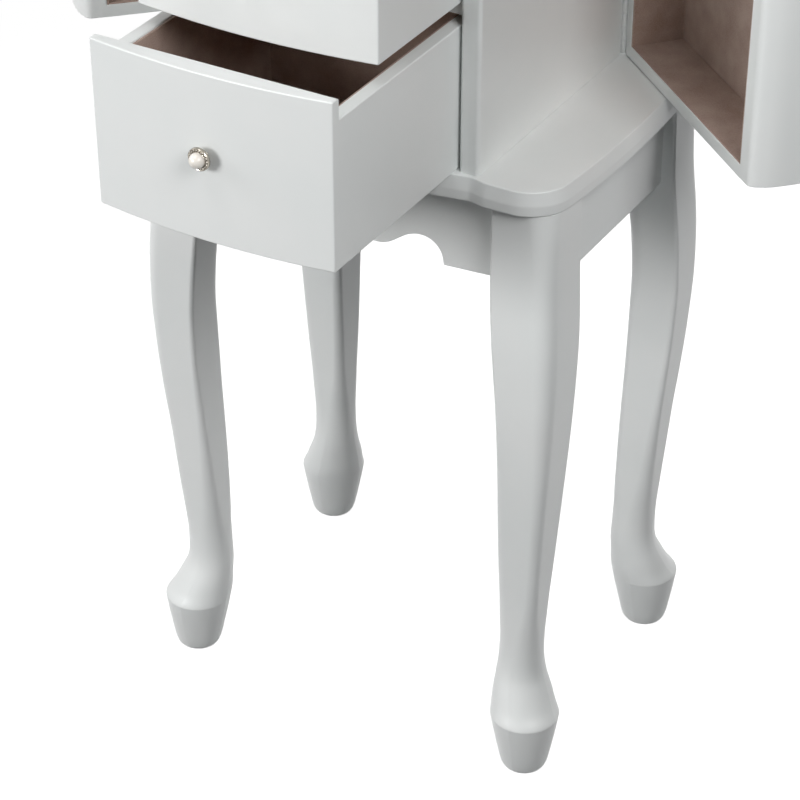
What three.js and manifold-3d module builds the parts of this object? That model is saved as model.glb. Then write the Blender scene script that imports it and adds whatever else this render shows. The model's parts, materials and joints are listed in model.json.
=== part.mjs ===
// A jewelry cabinet on four cabriole legs: three bowed drawers, a deep tray door on each side and
// a lift-up lid with a mirror under it. Millimetres, +Z up, front towards -Y, +X to the right.
// Drawers, doors and lid stand open as built, and the origin is the middle of the box they fill,
// on the floor.

import * as THREE from "three";
import { mergeVertices } from "three/addons/utils/BufferGeometryUtils.js";
import Module from "manifold-3d";

const wasm = await Module();
wasm.setup();

// ---------------------------------------------------------------- sizes

// Case
const caseWidth = 263;
const caseDepth = 262.2;
const panelThickness = 18.5;
const panelCorner = 3.5; // rounded front corners of a side panel
const backThickness = 12;
const shelfThickness = 12;
const compartmentDepth = 39.6;
const railThickness = 18;

// Drawers, from the bottom up: height of the front and how far it stands open.
const drawers = [
  { name: "lower", height: 146.3, open: 190.1 },
  { name: "middle", height: 107.8, open: 123.4 },
  { name: "upper", height: 82.4, open: 57 },
];
const drawerSideGap = 2.5; // front or side board to the side panel
const drawerFrontGap = 1.8; // between one front and the next
const drawerBackGap = 2;
const frontBow = 9; // how far the middle of a front stands ahead of its ends
const frontEndThickness = 8.5;
const drawerBoard = 12;
const drawerBottomThickness = 6;
const drawerBottomRise = 3;
const drawerTopDrop = 17.6; // side boards end this far under the top of the front

// Knobs
const knobHeightShare = 0.529; // of the front's height
const pearlRadius = 6.5;
const pearlSeat = 11; // pearl's centre ahead of the front
const ringRadius = 9.85;
const ringDrop = 0.8; // face of the ring behind the pearl's centre
const knobStemRadius = 3.5;
const screwRadius = 2;
const screwHeadRadius = 4;
const screwHeadThickness = 2.5;

// Doors
const doorDepth = 65.7; // opening plane to outer face
const doorOpening = { right: 48.65, left: 45 }; // degrees, as it stands
const doorFrontProud = 5.3; // closed door ahead of the side panel
const doorLift = 1; // above the base board
const doorTopDrop = 5; // under the top of the case
const doorSkin = 14;
const doorRearWall = 11.3;
const doorFrontWall = 27;
const doorRim = 13; // flat rim of the front wall, round the opening
const doorFrontCorner = 22; // outer corner radius
const doorBoard = 12;
const hookRail = { height: 20, thickness: 9, drop: 22, inset: 18 };
const hookCount = 6;
const hookRadius = 2.5;
const hookLength = 22;

// Base board and lid
const boardThickness = 22;
const boardNose = { inset: 6, drop: 18 }; // elliptical round of the upper edge
const boardSideOverhang = 8.9; // beyond a closed door
const boardRearOverhang = 32;
const earOverhang = 8.9; // ears ahead of the case
const bowOverhang = 9.1; // board ahead of the drawer fronts at the middle
const neckOverhang = 6.1;
const boardCorner = 40;
const sideSwell = 5.5; // widest point of the side beyond the corners
const lidOpening = 100; // degrees

// Mirror
const mirrorMargin = 8; // frame to the walls of the compartment
const mirrorFrameWidth = 14;
const mirrorFrameThickness = 8;
const mirrorThickness = 3;
const mirrorLap = 4;

// Compartment under the lid
const dividerThickness = 6;
const dividerHeight = 24;
const dividerOffset = 27;
const cushionHeight = 22;
const cushionBase = 8;
const cushionRolls = 8;

// Legs and aprons
const legHeight = 596.2;
const postWidth = 54;
const legSideInset = 9.5; // post to the edge of the board
const frontLegSetback = 26.4; // leg's centre behind the front of the case
const apronThickness = 16;
const apronHeight = 80;
const frontApronInset = 19; // its ends behind the posts' outer faces
const frontApronBow = 9;
const rearApronInset = 14.8;
const sideApronInset = 9;
const scallop = { outer: 91.3, peak: 70.3, inner: 34, flat: 28, rise: 24, step: 6 };

// Hinges
const knuckleRadius = 2.4;
const pinRadius = 1.1;
const pinClearance = 0.3;
const knuckleGap = 0.4;
const leafThickness = 1;
const leafWidth = 12;
const leafStart = 2.8; // leaf's edge from the pin
const hingeOut = 1.3; // door hinge's pin outside the side panel
const hingeBack = 2.5; // pin behind the rear face
const doorKnuckles = 9;
const lidKnuckles = 7;
const lidHingeLength = 182;

// Clearances
const slide = 0.3; // drawer over what it slides on
const fit = 0.3; // between pieces that are turned together, or fitted
const lidGap = 0.3; // lid over the top of the case

// ---------------------------------------------------------------- places

const caseHalf = caseWidth / 2;
const bayHalf = caseHalf - panelThickness;
const drawerHalf = bayHalf - drawerSideGap;
const caseFront = -144.2;
const caseRear = caseFront + caseDepth;
const bayRear = caseRear - backThickness;
const boardBottom = legHeight;
const boardTop = boardBottom + boardThickness;
const hingeX = caseHalf + hingeOut;
const hingeY = caseRear + hingeBack;
const boardHalf = hingeX + hingeOut + doorDepth + boardSideOverhang;
const legX = boardHalf - legSideInset - postWidth / 2;
const frontLegY = caseFront + frontLegSetback;
const rearLegY = caseRear;
const frontBack = caseFront + frontEndThickness; // flat rear face of a closed drawer front

let level = boardTop + slide;
for (const drawer of drawers) {
  drawer.bottom = level;
  drawer.top = level + drawer.height;
  level = drawer.top + drawerFrontGap;
}
const railBottom = level;
const caseTop = railBottom + compartmentDepth;
const doorBottom = boardTop + doorLift;
const doorTop = caseTop - doorTopDrop;
const doorLength = hingeY - caseFront + doorFrontProud;
const railBack = caseFront + railThickness;

// ---------------------------------------------------------------- helpers

// Rounds to a tenth of a micron, so that faces that meet are described by the same numbers.
function rounded(value) {
  return Math.round(value * 1e4) / 1e4;
}

// A closed geometry as a solid that can be joined and cut.
function toSolid(geometry) {
  const bare = geometry.index ? geometry.toNonIndexed() : geometry.clone();
  bare.deleteAttribute("normal");
  bare.deleteAttribute("uv");
  bare.attributes.position.array.forEach((value, i, all) => {
    all[i] = rounded(value);
  });
  const merged = mergeVertices(bare, 1e-4);
  const vertProperties = merged.attributes.position.array;
  const triVerts = new Uint32Array(merged.index.array);
  return new wasm.Manifold(new wasm.Mesh({ numProp: 3, vertProperties, triVerts }));
}

function toGeometry(solid) {
  const mesh = solid.getMesh();
  const geometry = new THREE.BufferGeometry();
  geometry.setAttribute("position", new THREE.BufferAttribute(mesh.vertProperties, 3));
  geometry.setIndex(new THREE.BufferAttribute(mesh.triVerts, 1));
  return geometry;
}

const paints = {
  lacquer: { color: 0xe6e7e6, roughness: 0.38, metalness: 0 },
  felt: { color: 0x8a7468, roughness: 1, metalness: 0 },
  ply: { color: 0x6b5448, roughness: 0.9, metalness: 0 },
  hinge: { color: 0xe2e3e2, roughness: 0.4, metalness: 0 },
  silver: { color: 0xc9cacc, roughness: 0.2, metalness: 1 },
  pearl: { color: 0xf1e9da, roughness: 0.25, metalness: 0 },
  mirror: { color: 0xdfe6ea, roughness: 0.02, metalness: 1 },
};

// Adds a solid to a group as a named mesh.
function addPiece(group, name, solid, paint) {
  const mesh = new THREE.Mesh(toGeometry(solid), new THREE.MeshStandardMaterial(paints[paint]));
  mesh.geometry.computeVertexNormals();
  mesh.name = name;
  group.add(mesh);
}

// A block between two values on each axis, given in either order.
function block([x0, x1], [y0, y1], [z0, z1]) {
  const box = new THREE.BoxGeometry(1, 1, 1);
  const place = box.attributes.position;
  for (let i = 0; i < place.count; i++) {
    const x = place.getX(i) > 0 ? Math.max(x0, x1) : Math.min(x0, x1);
    const y = place.getY(i) > 0 ? Math.max(y0, y1) : Math.min(y0, y1);
    const z = place.getZ(i) > 0 ? Math.max(z0, z1) : Math.min(z0, z1);
    place.setXYZ(i, x, y, z);
  }
  return toSolid(box);
}

// A plan outline raised from one level to another.
function prism(points, bottom, top, curveSegments = 6) {
  const shape = points instanceof THREE.Path ? points : new THREE.Shape(points);
  const raised = new THREE.ExtrudeGeometry(shape, {
    depth: top - bottom,
    bevelEnabled: false,
    curveSegments,
  });
  raised.translate(0, 0, bottom);
  return toSolid(raised);
}

// The closed outline whose right half is the path, mirrored in the plane x = 0.
function mirroredOutline(half, divisions) {
  const right = half.getPoints(divisions).filter((p, i, all) => i === 0 || p.distanceTo(all[i - 1]) > 1e-3);
  const left = right.filter((p) => p.x > 1e-3).reverse();
  return [...right, ...left.map((p) => new THREE.Vector2(-p.x, p.y))];
}

// Skins level rings of equally many points, which run counterclockwise, and closes both ends.
function loft(rings) {
  const count = rings[0].length;
  const last = (rings.length - 1) * count;
  const index = [];
  for (let start = 0; start < last; start += count) {
    for (let i = 0; i < count; i++) {
      const a = start + i;
      const b = start + ((i + 1) % count);
      index.push(a, b, b + count, a, b + count, a + count);
    }
  }
  const flat = (ring) => ring.map((p) => new THREE.Vector2(p.x, p.y));
  for (const [a, b, c] of THREE.ShapeUtils.triangulateShape(flat(rings[0]), [])) {
    index.push(c, b, a);
  }
  for (const [a, b, c] of THREE.ShapeUtils.triangulateShape(flat(rings.at(-1)), [])) {
    index.push(last + a, last + b, last + c);
  }
  const geometry = new THREE.BufferGeometry().setFromPoints(rings.flat());
  geometry.setIndex(index);
  return toSolid(geometry);
}

// A solid of revolution about the local axis of a knob, which points to -Y.
function turned(profile, segments = 20) {
  const points = profile.map(([radius, ahead]) => new THREE.Vector2(radius, -ahead)).reverse();
  return toSolid(new THREE.LatheGeometry(points, segments));
}

function rod(radius, bottom, top, segments = 12) {
  const cylinder = new THREE.CylinderGeometry(radius, radius, top - bottom, segments);
  cylinder.rotateX(Math.PI / 2);
  cylinder.translate(0, 0, (bottom + top) / 2);
  return toSolid(cylinder);
}

// ---------------------------------------------------------------- base board and lid

// Plan outline of the board: bowed front, a neck and an ear at each end of the bow, round corners
// and slightly swollen sides.
function boardOutline() {
  const bowY = caseFront - frontBow - bowOverhang;
  const neck = { x: caseHalf - 7.5, y: caseFront - neckOverhang };
  const neckSlope = (2 * (neck.y - bowY)) / neck.x;
  const earY = caseFront - earOverhang;
  const cornerX = boardHalf - sideSwell - boardCorner;
  const rearY = caseRear + boardRearOverhang;
  const lean = THREE.MathUtils.degToRad(5.5); // of the corner's end against the depth
  const endX = cornerX + boardCorner * Math.cos(lean);
  const reach = (boardHalf - endX) / Math.tan(lean);
  const frontEnd = earY + boardCorner * (1 - Math.sin(lean));
  const rearEnd = rearY - boardCorner * (1 - Math.sin(lean));
  const widest = (frontEnd + rearEnd) / 2;

  const half = new THREE.Path();
  half.moveTo(0, bowY);
  half.quadraticCurveTo(neck.x / 2, bowY, neck.x, neck.y);
  half.bezierCurveTo(neck.x + 6, neck.y + 6 * neckSlope, neck.x + 12.5, earY, neck.x + 19, earY);
  half.lineTo(cornerX, earY);
  half.absarc(cornerX, earY + boardCorner, boardCorner, -Math.PI / 2, -lean, false);
  half.quadraticCurveTo(boardHalf, frontEnd + reach, boardHalf, widest);
  half.quadraticCurveTo(boardHalf, rearEnd - reach, endX, rearEnd);
  half.absarc(cornerX, rearY - boardCorner, boardCorner, lean, Math.PI / 2, false);

  return mirroredOutline(half, 5);
}

// The outline moved inwards, each point along the normal of its two neighbours.
function inset(points, amount) {
  return points.map((p, i) => {
    const before = points.at(i - 1);
    const after = points[(i + 1) % points.length];
    const along = new THREE.Vector2().subVectors(after, before).normalize();
    return new THREE.Vector2(p.x - along.y * amount, p.y + along.x * amount);
  });
}

// A board of that outline whose upper edge is a quarter of an ellipse.
function nosedBoard(bottom) {
  const outline = boardOutline();
  const steps = 5;
  const rings = [outline.map((p) => new THREE.Vector3(p.x, p.y, bottom))];
  for (let i = 0; i <= steps; i++) {
    const angle = (i / steps) * (Math.PI / 2);
    const z = bottom + boardThickness - boardNose.drop * (1 - Math.sin(angle));
    const ring = inset(outline, boardNose.inset * (1 - Math.cos(angle)));
    rings.push(ring.map((p) => new THREE.Vector3(p.x, p.y, z)));
  }
  return loft(rings);
}

// ---------------------------------------------------------------- legs and aprons

// Stations of the leg, whose level sections are squares with rounded corners seen on the diagonal:
// height, centre's distance outwards from the ankle's, half diagonal, and the radii of the two side
// corners, the outer and the inner one. Heights are those of a leg of the drawn height.
const drawnHeight = 596.2;
const legStations = [
  [0, 17.6, 26, 18, 18, 18],
  [12, 17.4, 32, 22.3, 22.3, 22.3],
  [50, 16.2, 43.4, 30.3, 30.3, 30.3],
  [62, 14.6, 43.6, 30.4, 30.4, 30.4],
  [80, 9.2, 39.4, 27.5, 27.5, 27.5],
  [94, 4.6, 34.8, 24, 24, 24],
  [110, 1.5, 30, 20.4, 20.4, 20.4],
  [130, 0.2, 28.2, 18, 18, 18],
  [160, 1, 27.6, 14.5, 13.5, 13.5],
  [190, 2.3, 27.6, 11.5, 9.5, 9.5],
  [260, 6.6, 29.6, 7, 9.5, 8],
  [340, 12.2, 32.6, 4.6, 11, 7.5],
  [400, 13.5, 35.6, 4.2, 13.5, 15],
  [460, 9.6, 38.8, 3.8, 15, 22],
  [505, 4.6, 39.2, 3.2, 16, 8],
  [520, 3.2, 39, 3, 16, 4],
  [596.2, 0.6, 38.6, 3, 16, 3],
];

// Leg in one corner: sx and sy are the signs of its place.
function leg(sx, sy, y) {
  const scale = legHeight / drawnHeight;
  const curves = [1, 2, 3, 4, 5].map((k) => {
    return new THREE.SplineCurve(legStations.map((s) => new THREE.Vector2(s[0] * scale, s[k])));
  });
  const rings = [];
  const levels = 2 * (legStations.length - 1);
  for (let i = 0; i <= levels; i++) {
    const [shift, reach, side, outer, inner] = curves.map((curve) => curve.getPoint(i / levels).y);
    const z = curves[0].getPoint(i / levels).x;
    rings.push(legRing(sx, sy, y, z, shift, reach, [outer, side, inner, side]));
  }
  return loft(rings);
}

function legRing(sx, sy, y, z, shift, reach, radii) {
  const steps = 5;
  const ring = [];
  radii.forEach((radius, corner) => {
    const way = (corner * Math.PI) / 2;
    const centre = reach - radius * Math.SQRT2;
    for (let i = 0; i <= steps; i++) {
      const turn = way + (i / steps - 0.5) * (Math.PI / 2);
      const along = shift + centre * Math.cos(way) + radius * Math.cos(turn);
      const sideways = centre * Math.sin(way) + radius * Math.sin(turn);
      const dx = (along - sideways) / Math.SQRT2;
      const dy = (along + sideways) / Math.SQRT2;
      ring.push(new THREE.Vector3(sx * (legX + dx), y + sy * dy, z));
    }
  });
  return sx * sy > 0 ? ring : ring.reverse();
}

// Front apron: bowed like the drawer fronts, with two arches and a flat drop in the middle of its
// lower edge.
function frontApron() {
  const end = legX - postWidth / 2 - fit;
  const low = boardBottom - apronHeight;
  const high = low + scallop.rise;
  const face = frontLegY - postWidth / 2 + frontApronInset;
  const half = new THREE.Path();
  half.moveTo(0, low + scallop.step);
  half.lineTo(scallop.flat, low + scallop.step);
  half.bezierCurveTo(scallop.inner + 12, low + scallop.step, scallop.peak - 18, high, scallop.peak, high);
  half.bezierCurveTo(scallop.peak + 13, high, scallop.outer - 1, low + 14, scallop.outer, low + scallop.step);
  half.lineTo(scallop.outer + 1, low);
  half.lineTo(end + 1, low);
  half.lineTo(end + 1, boardBottom + 1);
  const sawn = new THREE.ExtrudeGeometry(new THREE.Shape(mirroredOutline(half, 6)), {
    depth: postWidth + frontApronBow,
    bevelEnabled: false,
  });
  sawn.rotateX(Math.PI / 2); // outline's height to +Z, thickness to -Y
  sawn.translate(0, face + postWidth, 0);

  const plan = new THREE.Shape();
  plan.moveTo(end, face + apronThickness);
  plan.quadraticCurveTo(0, face + apronThickness - 2 * frontApronBow, -end, face + apronThickness);
  plan.lineTo(-end, face);
  plan.quadraticCurveTo(0, face - 2 * frontApronBow, end, face);
  return prism(plan, low, boardBottom, 12).intersect(toSolid(sawn));
}

function buildStand(group) {
  addPiece(group, "base_board", nosedBoard(boardBottom), "lacquer");
  addPiece(group, "front_right_leg", leg(1, -1, frontLegY), "lacquer");
  addPiece(group, "front_left_leg", leg(-1, -1, frontLegY), "lacquer");
  addPiece(group, "rear_right_leg", leg(1, 1, rearLegY), "lacquer");
  addPiece(group, "rear_left_leg", leg(-1, 1, rearLegY), "lacquer");
  addPiece(group, "front_apron", frontApron(), "lacquer");

  const rise = [boardBottom - apronHeight, boardBottom];
  const end = legX - postWidth / 2 - fit;
  const rearFace = rearLegY + postWidth / 2 - rearApronInset;
  const rear = block([-end, end], [rearFace - apronThickness, rearFace], rise);
  addPiece(group, "rear_apron", rear, "lacquer");
  const run = [frontLegY + postWidth / 2 + fit, rearLegY - postWidth / 2 - fit];
  for (const [name, side] of [["right", 1], ["left", -1]]) {
    const face = side * (legX + postWidth / 2 - sideApronInset);
    const board = block([face, face - side * apronThickness], run, rise);
    addPiece(group, name + "_apron", board, "lacquer");
  }
}

// ---------------------------------------------------------------- case

// Side panel, its front corners rounded.
function sidePanel(side) {
  const outer = side * caseHalf;
  const inner = side * bayHalf;
  const corner = side * panelCorner;
  const start = caseFront + panelCorner;
  const plan = new THREE.Shape();
  plan.moveTo(inner, caseRear);
  plan.lineTo(inner, start);
  plan.quadraticCurveTo(inner, caseFront, inner + corner, caseFront);
  plan.lineTo(outer - corner, caseFront);
  plan.quadraticCurveTo(outer, caseFront, outer, start);
  plan.lineTo(outer, caseRear);
  return prism(plan, boardTop, caseTop);
}

// A board across the bay whose front is bowed like the drawers', between two levels.
function bowedBoard(half, back, bottom, top) {
  const plan = new THREE.Shape();
  plan.moveTo(-half, back);
  plan.lineTo(-half, caseFront);
  plan.quadraticCurveTo(0, caseFront - 2 * frontBow, half, caseFront);
  plan.lineTo(half, back);
  return prism(plan, bottom, top, 14);
}

function buildCase(group) {
  const across = [-bayHalf, bayHalf];
  addPiece(group, "right_side_panel", sidePanel(1), "lacquer");
  addPiece(group, "left_side_panel", sidePanel(-1), "lacquer");
  addPiece(group, "back_panel", block(across, [bayRear, caseRear], [boardTop, caseTop]), "lacquer");

  const shelfRun = [frontBack + 2 * fit, bayRear];
  for (const drawer of drawers.slice(1)) {
    const top = drawer.bottom - slide;
    const shelf = block(across, shelfRun, [top - shelfThickness, top]);
    addPiece(group, drawer.name + "_drawer_shelf", shelf, "ply");
  }
  const floor = block(across, shelfRun, [railBottom - shelfThickness, railBottom]);
  addPiece(group, "compartment_floor", floor, "felt");
  addPiece(group, "front_rail", bowedBoard(bayHalf, railBack, railBottom, caseTop), "lacquer");

  const run = [railBack + fit, bayRear - fit];
  const cut = [dividerOffset - dividerThickness / 2, dividerOffset + dividerThickness / 2];
  const divider = block(cut, run, [railBottom, railBottom + dividerHeight]);
  addPiece(group, "compartment_divider", divider, "felt");
  addPiece(group, "ring_cushion", ringCushion(run, cut[0] - fit), "felt");
}

// Rolls side by side, that rings are pushed between, on a common base.
function ringCushion([front, rear], right) {
  const pitch = (rear - front) / cushionRolls;
  const base = railBottom + cushionBase;
  const side = new THREE.Shape();
  side.moveTo(front, railBottom);
  side.lineTo(rear, railBottom);
  for (let i = cushionRolls; i > 0; i--) {
    const middle = front + (i - 0.5) * pitch;
    side.absellipse(middle, base, pitch / 2, cushionHeight - cushionBase, 0, Math.PI, false);
  }
  const length = right + bayHalf - fit;
  const rolls = new THREE.ExtrudeGeometry(side, {
    depth: length,
    bevelEnabled: false,
    curveSegments: 4,
  });
  rolls.rotateY(Math.PI / 2);
  rolls.rotateX(Math.PI / 2); // outline's first axis to +Y, its height to +Z, length to +X
  rolls.translate(fit - bayHalf, 0, 0);
  return toSolid(rolls);
}

// ---------------------------------------------------------------- drawers

// Outline of the knob's setting and its screw: radius, and distance ahead of the drawer front.
function knobSetting() {
  const inside = -(frontEndThickness + frontBow) - fit;
  const seat = pearlRadius + fit;
  const rim = pearlSeat - ringDrop;
  const recess = [];
  const steps = 4;
  const widest = Math.acos(ringDrop / seat);
  for (let i = 0; i <= steps; i++) {
    const angle = widest * (1 - i / steps);
    recess.push([i === steps ? 0 : seat * Math.sin(angle), pearlSeat - seat * Math.cos(angle)]);
  }
  return turned([
    [0, inside - screwHeadThickness],
    [screwHeadRadius, inside - screwHeadThickness],
    [screwHeadRadius, inside],
    [screwRadius, inside],
    [screwRadius, fit],
    [knobStemRadius + 1, fit],
    [knobStemRadius, 2.2],
    [ringRadius - 2, 4.4],
    [ringRadius, rim - 1.5],
    [ringRadius - 0.6, rim],
    ...recess,
  ]);
}

function buildDrawer(parent, drawer) {
  const group = new THREE.Group();
  group.position.y = -drawer.open;
  parent.add(group);

  const { name, bottom, top } = drawer;
  const knobZ = bottom + knobHeightShare * drawer.height;
  const bowY = caseFront - frontBow;
  const hole = rod(screwRadius + fit, -frontBow, 2 * frontBow + frontEndThickness)
    .rotate([-90, 0, 0])
    .translate([0, bowY, knobZ]);
  const front = bowedBoard(drawerHalf, frontBack, bottom, top).subtract(hole);
  addPiece(group, name + "_drawer_front", front, "lacquer");

  const rear = bayRear - drawerBackGap;
  const sideTop = top - drawerTopDrop;
  const inner = drawerHalf - drawerBoard;
  for (const [sideName, side] of [["right", 1], ["left", -1]]) {
    const board = block([side * inner, side * drawerHalf], [frontBack, rear], [bottom, sideTop]);
    addPiece(group, `${name}_drawer_${sideName}_side`, board, "lacquer");
  }
  const across = [-inner, inner];
  const back = block(across, [rear - drawerBoard, rear], [bottom, sideTop]);
  addPiece(group, name + "_drawer_back", back, "lacquer");
  const base = bottom + drawerBottomRise;
  const floor = block(across, [frontBack, rear - drawerBoard], [base, base + drawerBottomThickness]);
  addPiece(group, name + "_drawer_bottom", floor, "felt");

  const knob = new THREE.Group();
  knob.position.set(0, bowY, knobZ);
  group.add(knob);
  addPiece(knob, name + "_knob_setting", knobSetting(), "silver");
  const pearl = new THREE.SphereGeometry(pearlRadius, 16, 10);
  pearl.translate(0, -pearlSeat, 0);
  addPiece(knob, name + "_knob_pearl", toSolid(pearl), "pearl");
}

// ---------------------------------------------------------------- hinges

// One half of a continuous hinge whose pin is the Z axis. The leaf lies just ahead of the pin's
// level, towards -Y, and runs to the given side. The first half has the pin.
function hingeHalf(length, knuckles, side, first) {
  const pitch = length / knuckles;
  const depth = [fit - hingeBack, fit - hingeBack + leafThickness];
  let half = block([side * leafStart, side * (leafStart + leafWidth)], depth, [0, length]);
  for (let i = first ? 0 : 1; i < knuckles; i += 2) {
    const low = i * pitch + knuckleGap / 2;
    const high = (i + 1) * pitch - knuckleGap / 2;
    const tab = block([side * 1.5, side * (leafStart + 1)], depth, [low, high]);
    half = half.add(rod(knuckleRadius, low, high)).add(tab);
  }
  if (first) {
    return half.add(rod(pinRadius, 0, length));
  }
  return half.subtract(rod(pinRadius + pinClearance, -1, length + 1));
}

// ---------------------------------------------------------------- doors

// Plan of the door's front wall: flat rim, rounded front edge, long gentle front, round corner.
// Across is the distance outside the pin, along is the distance ahead of it.
function frontWallPlan(side, start) {
  const edge = hingeOut;
  const outer = hingeOut + doorDepth;
  const rim = start + doorRim;
  const nose = doorLength - 0.5;
  const plan = new THREE.Shape();
  plan.moveTo(side * edge, -start);
  plan.lineTo(side * edge, -rim);
  plan.bezierCurveTo(side * edge, -rim - 6, side * (edge + 5), -nose + 5.5, side * (edge + 11), -nose + 3.5);
  plan.quadraticCurveTo(side * (edge + 24), -nose, side * (outer - doorFrontCorner), -nose);
  plan.absarc(
    side * (outer - doorFrontCorner),
    -nose + doorFrontCorner,
    doorFrontCorner,
    -Math.PI / 2,
    side > 0 ? 0 : -Math.PI,
    side < 0,
  );
  plan.lineTo(side * outer, -start);
  return plan;
}

// Rail across the top of the tray, with a row of pegs that necklaces hang from.
function pegRail(side, skin, run) {
  const top = doorTop - doorBoard - hookRail.drop;
  const face = skin - fit - hookRail.thickness;
  const level = [top - hookRail.height, top];
  const [near, far] = [run[0] - hookRail.inset, run[1] + hookRail.inset];
  let rail = block([side * (skin - fit), side * face], [near, far], level);
  for (let i = 0; i < hookCount; i++) {
    const y = THREE.MathUtils.lerp(near, far, (i + 0.5) / hookCount);
    const peg = rod(hookRadius, 0, hookLength + 2, 10)
      .rotate([0, -90 * side, 0])
      .translate([side * (face + 2), y, top - hookRail.height / 2]);
    rail = rail.add(peg);
  }
  return rail;
}

function buildDoor(parent, name, side) {
  const group = new THREE.Group();
  group.position.set(side * hingeX, hingeY, 0);
  group.rotation.z = side * THREE.MathUtils.degToRad(doorOpening[name]);
  parent.add(group);

  const near = hingeOut; // opening plane
  const outer = hingeOut + doorDepth;
  const skin = outer - doorSkin; // inner face of the outer panel
  const wallEnd = hingeBack + doorRearWall;
  const wallStart = doorLength - doorFrontWall;
  const rise = [doorBottom, doorTop];
  const run = [-wallEnd - fit, -wallStart + fit];

  const rearWall = block([side * near, side * outer], [-hingeBack, -wallEnd], rise);
  addPiece(group, name + "_door_rear_wall", rearWall, "lacquer");
  const frontWall = prism(frontWallPlan(side, wallStart), ...rise);
  addPiece(group, name + "_door_front_wall", frontWall, "lacquer");
  addPiece(group, name + "_door_outer_panel", block([side * skin, side * outer], run, rise), "lacquer");

  const depth = [side * near, side * (skin - fit)];
  const floor = block(depth, run, [doorBottom, doorBottom + doorBoard]);
  addPiece(group, name + "_door_floor_board", floor, "lacquer");
  const top = block(depth, run, [doorTop - doorBoard, doorTop]);
  addPiece(group, name + "_door_top_board", top, "lacquer");
  addPiece(group, name + "_door_peg_rail", pegRail(side, skin, run), "lacquer");

  const length = doorTop - doorBottom;
  const moving = hingeHalf(length, doorKnuckles, side, false).translate([0, 0, doorBottom]);
  addPiece(group, name + "_door_hinge_leaf", moving, "hinge");
  const fixed = hingeHalf(length, doorKnuckles, -side, true);
  addPiece(parent, name + "_case_hinge_leaf", fixed.translate([side * hingeX, hingeY, doorBottom]), "hinge");
}

// ---------------------------------------------------------------- lid

function buildLid(parent) {
  const pivot = new THREE.Vector3(0, hingeY, caseTop + lidGap / 2);
  const group = new THREE.Group();
  group.position.copy(pivot);
  group.rotation.x = THREE.MathUtils.degToRad(-lidOpening);
  parent.add(group);
  const closed = ([y0, y1], [z0, z1]) => [[y0 - pivot.y, y1 - pivot.y], [z0 - pivot.z, z1 - pivot.z]];

  const underside = caseTop + lidGap;
  const far = boardHalf + 1;
  const behind = block([-far, far], [caseRear, caseRear + 2 * boardRearOverhang], [0, 2 * caseTop]);
  const lid = nosedBoard(underside).subtract(behind).translate([0, -pivot.y, -pivot.z]);
  addPiece(group, "lid_panel", lid, "lacquer");

  // The frame hangs inside the compartment when the lid is down and holds the mirror by a rebate.
  const half = bayHalf - mirrorMargin;
  const front = railBack + mirrorMargin;
  const rear = bayRear - mirrorMargin;
  const frameTop = underside - fit;
  const glassDepth = mirrorThickness + fit;
  const bar = mirrorFrameWidth;
  const seat = mirrorFrameWidth - mirrorLap - fit;
  const low = frameTop - mirrorFrameThickness;
  const whole = block([-half, half], ...closed([front, rear], [low, frameTop]));
  const sight = block(
    [bar - half, half - bar],
    ...closed([front + bar, rear - bar], [low - 1, frameTop + 1]),
  );
  const rebate = block(
    [seat - half, half - seat],
    ...closed([front + seat, rear - seat], [frameTop - glassDepth, frameTop + 1]),
  );
  addPiece(group, "mirror_frame", whole.subtract(sight).subtract(rebate), "lacquer");
  const edge = seat + fit;
  const glass = block(
    [edge - half, half - edge],
    ...closed([front + edge, rear - edge], [frameTop - mirrorThickness, frameTop]),
  );
  addPiece(group, "mirror", glass, "mirror");

  // Both halves are made with the pin upright and laid along X: towards -Z on the case.
  const shift = [-lidHingeLength / 2, 0, 0];
  const fixed = hingeHalf(lidHingeLength, lidKnuckles, 1, true).rotate([0, 90, 0]).translate(shift);
  addPiece(parent, "case_lid_hinge_leaf", fixed.translate(pivot.toArray()), "hinge");
  const moving = hingeHalf(lidHingeLength, lidKnuckles, -1, false).rotate([0, 90, 0]).translate(shift);
  addPiece(group, "lid_hinge_leaf", moving, "hinge");
}

// ---------------------------------------------------------------- assembly

const cabinet = new THREE.Group();
buildStand(cabinet);
buildCase(cabinet);
drawers.forEach((drawer) => buildDrawer(cabinet, drawer));
buildDoor(cabinet, "right", 1);
buildDoor(cabinet, "left", -1);
buildLid(cabinet);

// The middle of the whole model's footprint, on the floor, becomes the origin.
cabinet.updateMatrixWorld(true);
const extent = new THREE.Box3().setFromObject(cabinet, true);
const middle = extent.getCenter(new THREE.Vector3());
cabinet.position.set(-rounded(middle.x), -rounded(middle.y), -rounded(extent.min.z));

export default cabinet;
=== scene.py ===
import json
import math

import bpy
import numpy as np
from mathutils import Matrix, Vector


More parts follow.
